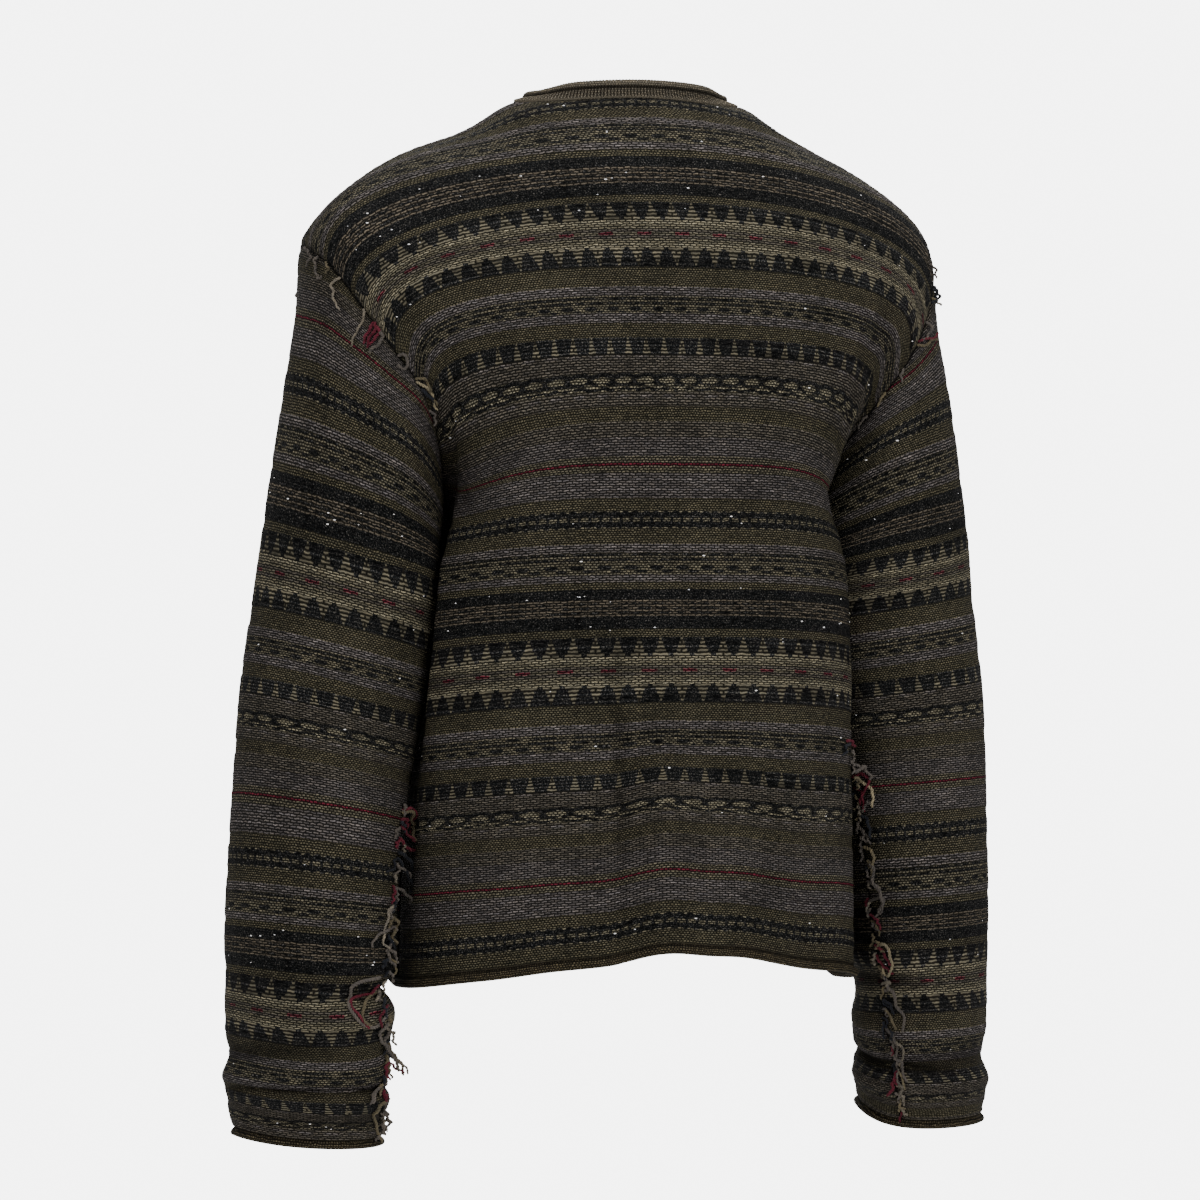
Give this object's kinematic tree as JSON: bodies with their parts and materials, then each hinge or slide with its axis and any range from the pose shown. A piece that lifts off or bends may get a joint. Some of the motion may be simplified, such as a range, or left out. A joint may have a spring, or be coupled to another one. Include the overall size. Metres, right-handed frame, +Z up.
{
  "type": "knitted sweater",
  "caption": "Boxy long-sleeved jacquard sweater with dropped shoulders, round rib neckband and rolled hem and cuffs, in its worn shape.",
  "frame": {"origin": "on the centre line at the base of the neck, level with the top of the shoulders, where the wearer's shoulders carry the sweater", "axes": "+Z up, -Y towards the wearer's front, +X towards the wearer's left"},
  "size_m": [0.5636, 0.2871, 0.7449],
  "materials": {
    "body_wool": "doubled jacquard knit in dark mixed wool, soft and matt",
    "sleeve_wool": "doubled jacquard knit in dark mixed wool, soft and matt",
    "rib_wool": "narrow upright rib in olive brown wool, matt",
    "end_wool": "loose ends of mixed wool yarn, matt"
  },
  "bodies": {
    "root": {"back": "body_wool", "front": "body_wool", "sleeve_left": "sleeve_wool", "sleeve_right": "sleeve_wool", "neckband": "rib_wool", "armhole_fringe_left": "end_wool", "armhole_fringe_right": "end_wool", "sleeve_fringe_left": "end_wool", "sleeve_fringe_right": "end_wool"}
  },
  "joints": []
}
